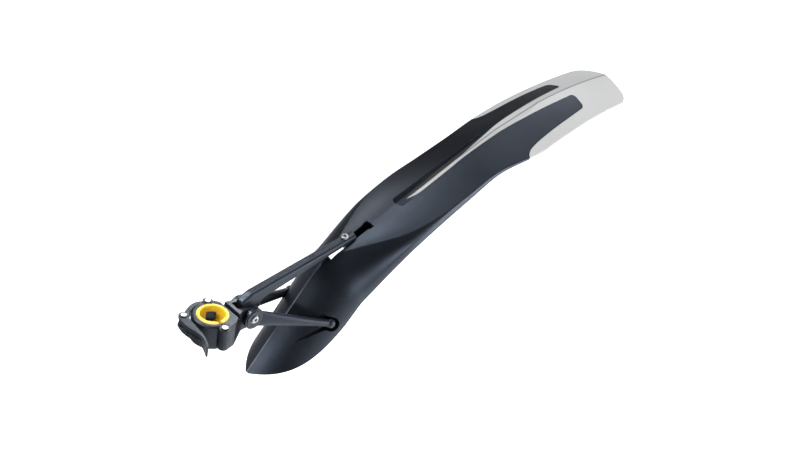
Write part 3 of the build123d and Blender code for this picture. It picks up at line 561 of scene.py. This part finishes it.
FINISHES: dict[Slot, MouldedPlastic | PlatedSteel] = {
    Slot.DARK: MouldedPlastic(
        "dark_moulding", (0.0058, 0.0063, 0.0085), (0.0046, 0.005, 0.0068), 0.36,
        specular_tint=(0.64, 0.77, 1.0),
    ),
    Slot.CLAMP: MouldedPlastic(
        "clamp_moulding", (0.0075, 0.008, 0.0098), (0.006, 0.0064, 0.008), 0.38,
        specular=0.42, specular_tint=(0.68, 0.8, 1.0),
    ),
    Slot.LIGHT: MouldedPlastic(
        "light_moulding", (0.67, 0.664, 0.66), (0.63, 0.625, 0.62), 0.42,
        scuff_colour=(0.5, 0.5, 0.5), scuff_amount=0.12, seam=TailSeam(),
    ),
    Slot.YELLOW: MouldedPlastic(
        "yellow_moulding", (0.8, 0.56, 0.02), (0.75, 0.5, 0.016), 0.34,
        scuff_colour=(0.75, 0.5, 0.1), scuff_amount=0.15,
    ),
    Slot.STEEL: PlatedSteel("plated_steel", (0.46, 0.46, 0.475), 0.28),
    Slot.NUT: MouldedPlastic("nut_moulding", (0.035, 0.036, 0.04), (0.028, 0.029, 0.032), 0.5),
}

SOCKET_HEADS = PlatedSteel("socket_head_steel", (0.36, 0.36, 0.37), 0.3)
HEADED = ("pivot_bolt", "slot_screw")
PINS = ("jaw_hinge_pin", "link_pin", "lever_pin")
# dark moulding with the painted highlight along the nose's crest
CRESTED = replace(FINISHES[Slot.DARK], name="crested_moulding", seam=NoseCrest())


def place_shape(shape: bmesh.types.BMesh, name: str) -> bpy.types.Object:
    """Makes a finished shape an object of the scene.

    Args:
        shape: the shape, in metres, which is freed.
        name: the object's name.

    Returns:
        The object.
    """
    mesh = bpy.data.meshes.new(name)
    shape.to_mesh(mesh)
    shape.free()
    piece = bpy.data.objects.new(name, mesh)
    bpy.context.scene.collection.objects.link(piece)
    return piece


def finish_piece(shape: bmesh.types.BMesh, name: str) -> bpy.types.Object:
    """Rounds the sharp edges of a moulded piece and sets it on the blade.

    Args:
        shape: the piece's closed shape, in metres.
        name: the piece's name.

    Returns:
        The piece's object.
    """
    bmesh.ops.recalc_face_normals(shape, faces=shape.faces)
    rims = [edge for edge in shape.edges if edge.calc_face_angle(0.0) > RIM_ANGLE]
    bmesh.ops.bevel(shape, geom=rims, offset=RIM_ROUND, offset_type="OFFSET", affect="EDGES", segments=2,
                    profile=0.5, material=-1)
    piece = place_shape(shape, name)
    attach(piece, "blade")
    return piece


@dataclass
class SocketLiner:
    """Half ring that closes one ball socket between its boss and the blade's wall."""

    name: str
    side: int
    centre: Pair = (0.140273, -0.030667)
    away: Pair = (0.9517, -0.3073)  # from the arm across the socket, as x and z
    inner: float = 0.0083
    outer: float = 0.0104
    foot: float = 0.034
    rim: float = 0.0362
    rim_rise: float = 0.0031
    half_turn: float = 100.0
    steps: int = 28

    def build(self) -> bpy.types.Object:
        """Spins a four-cornered section round the ball and raises the rim on the side away from the arm.

        Returns:
            The ring's object.
        """
        centre = Vector((self.centre[0], 0.0, self.centre[1]))
        away = Vector((self.away[0], 0.0, self.away[1]))
        turn = Matrix.Rotation(radians(-self.half_turn), 3, (0.0, -1.0, 0.0))
        shape = bmesh.new()
        corners = ((self.inner, self.foot), (self.outer, self.foot), (self.outer, self.rim), (self.inner, self.rim))
        section = [
            shape.verts.new(centre + turn @ (radius * away) + Vector((0.0, self.side * height, 0.0)))
            for radius, height in corners
        ]
        face = shape.faces.new(section)
        bmesh.ops.spin(shape, geom=[*section, *face.edges, face], cent=centre, axis=(0.0, -1.0, 0.0),
                       angle=radians(2 * self.half_turn), steps=self.steps)
        for corner in shape.verts:
            if abs(corner.co.y) > (self.foot + self.rim) / 2:
                reach = Vector((corner.co.x, 0.0, corner.co.z)) - centre
                corner.co.y += self.side * self.rim_rise * reach.normalized().dot(away)
        return finish_piece(shape, self.name)


@dataclass
class SlotRail:
    """Channel under the deck that closes the upper part of the slot from below, clear of the sliding nut."""

    name: str = "slot_rail"
    deck_start: Pair = (0.165, 0.037)
    slope: float = 22.5
    first: float = 0.03
    last: float = 0.066
    half_width: float = 0.0175
    wall: float = 0.0014
    top: float = 0.004
    floor: float = 0.0155

    def corner(self, across: float, depth: float) -> Vector:
        """Point of the channel's first section.

        Args:
            across: from the middle of the blade.
            depth: below the deck, square to it.

        Returns:
            The point in metres.
        """
        lean = radians(self.slope)
        x = self.deck_start[0] + self.first * cos(lean) + depth * sin(lean)
        z = self.deck_start[1] + self.first * sin(lean) - depth * cos(lean)
        return Vector((x, across, z))

    def build(self) -> bpy.types.Object:
        """Makes the channel by running its section along the deck.

        Returns:
            The channel's object.
        """
        outer, inner = self.half_width, self.half_width - self.wall
        low = self.floor + self.wall
        section = ((-outer, self.top), (-outer, low), (outer, low), (outer, self.top),
                   (inner, self.top), (inner, self.floor), (-inner, self.floor), (-inner, self.top))
        shape = bmesh.new()
        face = shape.faces.new([shape.verts.new(self.corner(*place)) for place in section])
        run = bmesh.ops.extrude_face_region(shape, geom=[face], use_keep_orig=True)
        moved = [part for part in run["geom"] if isinstance(part, bmesh.types.BMVert)]
        length, lean = self.last - self.first, radians(self.slope)
        bmesh.ops.translate(shape, vec=(length * cos(lean), 0.0, length * sin(lean)), verts=moved)
        return finish_piece(shape, self.name)


@dataclass
class Mudguard:
    """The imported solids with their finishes, and the small pieces added to the blade."""

    nodes: dict[str, bpy.types.Object]
    record: dict

    def pin_centre(self, name: str) -> Pair:
        """Where a pin's axis stands, seen from above.

        Args:
            name: node of the pin.

        Returns:
            The axis's x and y in metres.
        """
        corners = [Vector(corner) for corner in self.nodes[name].bound_box]
        middle = (corners[0] + corners[6]) / 2
        return middle.x, middle.y

    def special_finishes(self) -> dict[str, bpy.types.Material]:
        """Makes the finishes of the pieces that differ from the rest of their slot.

        Returns:
            The materials by node.
        """
        heads = SOCKET_HEADS.material()
        rim_shade = PinRimShade(tuple(self.pin_centre(name) for name in PINS))
        pins = replace(FINISHES[Slot.STEEL], name="rim_shaded_pin_steel", rim_shade=rim_shade).material()
        special = {name: heads for name in HEADED} | {name: pins for name in PINS}
        special["blade_shell"] = CRESTED.material()
        return special

    def dress(self) -> None:
        """Gives every solid the finish of its slot, and adds the socket liners and the slot rail."""
        made = {slot: finish.material() for slot, finish in FINISHES.items()}
        special = self.special_finishes()
        for row in self.record["subparts"]:
            node = self.nodes[row["node"]]
            node.data.materials.clear()
            node.data.materials.append(special.get(node.name, made[Slot(row["material_slot"])]))
            LOG.info("%s takes %s", node.name, row["material_slot"])
        for extra in (SocketLiner("socket_liner_left", -1), SocketLiner("socket_liner_right", 1), SlotRail()):
            extra.build().data.materials.append(made[Slot.DARK])
            LOG.info("%s added to the blade", extra.name)


@dataclass(frozen=True)
class Softbox:
    """One soft rectangular lamp, in metres, watts and degrees."""

    name: str
    place: Point
    aim: Point
    size: Pair
    power: float
    spread: float = 180.0

    def hang(self) -> None:
        """Hangs the lamp so that it faces its aim."""
        light = bpy.data.lights.new(self.name, "AREA")
        light.shape = "RECTANGLE"
        light.size, light.size_y = self.size
        light.energy = self.power
        light.spread = radians(self.spread)
        lamp = bpy.data.objects.new(self.name, light)
        place = Vector(self.place)
        turn = (Vector(self.aim) - place).to_track_quat("-Z", "Y").to_matrix().to_4x4()
        lamp.matrix_world = Matrix.Translation(place) @ turn
        lamp.visible_camera = False
        bpy.context.scene.collection.objects.link(lamp)


LAMPS = (
    Softbox("top_softbox", (0.17, 0.25, 1.0), (0.2, 0.0, 0.05), (0.3, 0.3), 2.7),
    Softbox("slot_side_softbox", (0.27, 0.41, 0.34), (0.21, 0.01, 0.055), (0.16, 0.16), 0.045, 60.0),
    Softbox("rear_softbox", (1.05, 0.2, 1.25), (0.5, 0.0, 0.15), (0.6, 0.6), 5.2),
    Softbox("clamp_softbox", (0.86, 0.71, 0.72), (0.03, 0.0, 0.01), (0.35, 0.35), 0.17, 20.0),
    Softbox("near_side_softbox", (0.2, -0.85, 0.25), (0.22, -0.04, 0.04), (0.3, 0.3), 0.26, 60.0),
    Softbox("low_softbox", (0.75, -0.75, -0.1), (0.25, -0.04, 0.03), (0.5, 0.3), 2.4),
    Softbox("near_softbox", (1.25, -1.1, 0.2), (0.35, 0.0, 0.08), (0.9, 0.5), 10.0),
    Softbox("ring_softbox", (-0.36, 0.5, 0.85), (-0.02, 0.0, 0.01), (0.3, 0.3), 0.5, 30.0),
    Softbox("nose_softbox", (-0.25, -0.1, 0.07), (0.07, 0.0, -0.075), (0.1, 0.1), 0.062, 60.0),
)


@dataclass(frozen=True)
class Curtain:
    """Dark cloth hung in one direction of the pale surround, with a soft edge in degrees."""

    direction: Point
    full: float
    edge: float
    level: float

    def shade(self, graph: Graph, view: Socket) -> Socket:
        """Share of the surround's light that the cloth leaves in each direction.

        Args:
            graph: the world's graph.
            view: direction of the ray.

        Returns:
            The share's socket, from the cloth's level to one.
        """
        towards = graph.add("ShaderNodeVectorMath", operation="DOT_PRODUCT")
        graph.join(view, towards.inputs[0])
        graph.join(Vector(self.direction).normalized(), towards.inputs[1])
        start, end = cos(radians(self.edge)), cos(radians(self.full))
        return graph.ramp(towards.outputs["Value"], start, end, 1.0, self.level, smooth=True)


CURTAINS = (
    Curtain((-0.47, -0.8, 0.36), 20.0, 65.0, 0.05),
    Curtain((0.3, 0.85, 0.35), 18.0, 45.0, 0.15),
)


@dataclass
class Studio:
    """Pale floor, soft lamps and a pale surround with dark curtains."""

    floor_z: float = -0.32
    floor_size: float = 14.0
    floor_tones: tuple[Colour, Colour] = ((0.86, 0.86, 0.86), (0.9, 0.9, 0.9))
    cloud_scale: float = 0.8
    dim_start: float = -0.15
    dim_end: float = 0.7
    dim_tone: Colour = (0.4, 0.44, 0.5)
    surround: float = 0.5
    surround_tone: Colour = (0.92, 0.96, 1.0)

    def floor_material(self) -> bpy.types.Material:
        """Makes a pale floor that is white to the camera and darker beyond the guard to mirror rays.

        Returns:
            The material.
        """
        material, graph = new_material("studio_floor")
        path = graph.add("ShaderNodeLightPath").outputs
        seen = graph.math("MAXIMUM", path["Is Camera Ray"], path["Is Glossy Ray"])
        seen = graph.math("MAXIMUM", seen, path["Is Transmission Ray"])
        where = graph.add("ShaderNodeTexCoord").outputs["Object"]
        cloud = place_effect(graph, Effect.DRIFT, where, Scale=self.cloud_scale)
        along, across, _ = graph.split(where)
        beyond = graph.ramp(graph.math("SUBTRACT", across, along), self.dim_start, self.dim_end, smooth=True)
        dim = graph.product(beyond, path["Is Glossy Ray"])
        tone = graph.mix(dim, graph.mix(cloud, *self.floor_tones), self.dim_tone)
        matte = graph.feed(graph.add("ShaderNodeBsdfDiffuse"), Color=tone)
        lit = graph.product(seen, graph.math("SUBTRACT", 1.0, dim))
        glow = graph.feed(graph.add("ShaderNodeEmission"), Strength=lit)
        total = graph.add("ShaderNodeAddShader")
        for shader, socket in zip((matte, glow), total.inputs):
            graph.join(shader.outputs[0], socket)
        graph.show(total.outputs[0])
        return material

    def floor(self) -> None:
        """Lays the floor well under the guard."""
        shape = bmesh.new()
        bmesh.ops.create_grid(shape, x_segments=1, y_segments=1, size=self.floor_size)
        bmesh.ops.translate(shape, vec=(0, 0, self.floor_z), verts=shape.verts)
        floor = place_shape(shape, "floor")
        floor.data.materials.append(self.floor_material())

    def world(self) -> None:
        """Lights softly from all round, with the curtains in it, and is white to the camera."""
        world = bpy.data.worlds.new("surround")
        bpy.context.scene.world = world
        world.use_nodes = True
        graph = Graph(world.node_tree)
        path = graph.add("ShaderNodeLightPath").outputs
        seen = graph.math("MAXIMUM", path["Is Camera Ray"], path["Is Transmission Ray"])
        view = graph.add("ShaderNodeTexCoord").outputs["Generated"]
        left = graph.product(*(curtain.shade(graph, view) for curtain in CURTAINS), self.surround)
        sky = graph.add("ShaderNodeBackground")
        tone = graph.mix(seen, self.surround_tone, WHITE)
        graph.feed(sky, Color=tone, Strength=graph.math("MAXIMUM", left, seen))
        graph.show(sky.outputs[0], "ShaderNodeOutputWorld")

    def build(self) -> None:
        """Sets the floor, the surround and the lamps."""
        self.floor()
        self.world()
        for lamp in LAMPS:
            lamp.hang()


@dataclass(frozen=True)
class PhotoCamera:
    """Camera at the photograph's viewing angle, in degrees, pixels and metres."""

    azimuth: float = -49.131
    elevation: float = 32.942
    roll: float = 11.009
    focal_px: float = 1486.499
    aim: Point = (0.0, 0.0, 0.015)
    aim_px: Pair = (212.825, 313.927)
    depth: float = 1.541505

    def build(self) -> None:
        """Places the camera and makes it the scene's own."""
        a, e, r = radians(self.azimuth), radians(self.elevation), radians(self.roll)
        back = Vector((sin(a) * cos(e), -cos(a) * cos(e), sin(e)))
        level = Vector((cos(a), sin(a), 0.0))
        upright = back.cross(level)
        right = cos(r) * level + sin(r) * upright
        up = cos(r) * upright - sin(r) * level
        across = (self.aim_px[0] - PHOTO_WIDTH / 2) / self.focal_px
        down = (self.aim_px[1] - PHOTO_HEIGHT / 2) / self.focal_px
        place = Vector(self.aim) - self.depth * (across * right - down * up - back)
        lens = bpy.data.cameras.new("photo_camera")
        lens.sensor_width = SENSOR_MM
        lens.lens = self.focal_px * SENSOR_MM / PHOTO_WIDTH
        camera = bpy.data.objects.new("photo_camera", lens)
        camera.matrix_world = Matrix.Translation(place) @ Matrix((right, up, back)).transposed().to_4x4()
        bpy.context.scene.collection.objects.link(camera)
        bpy.context.scene.camera = camera


def main() -> None:
    """Dresses the guard, and sets the studio and the camera."""
    logging.basicConfig(level=logging.INFO, format="%(message)s")
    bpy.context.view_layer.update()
    bpy.context.scene.view_settings.view_transform = "Standard"
    EffectGroups().build()
    Mudguard(frame["nodes"], frame["record"]).dress()
    Studio().build()
    PhotoCamera().build()


if __name__ == "__main__":
    main()
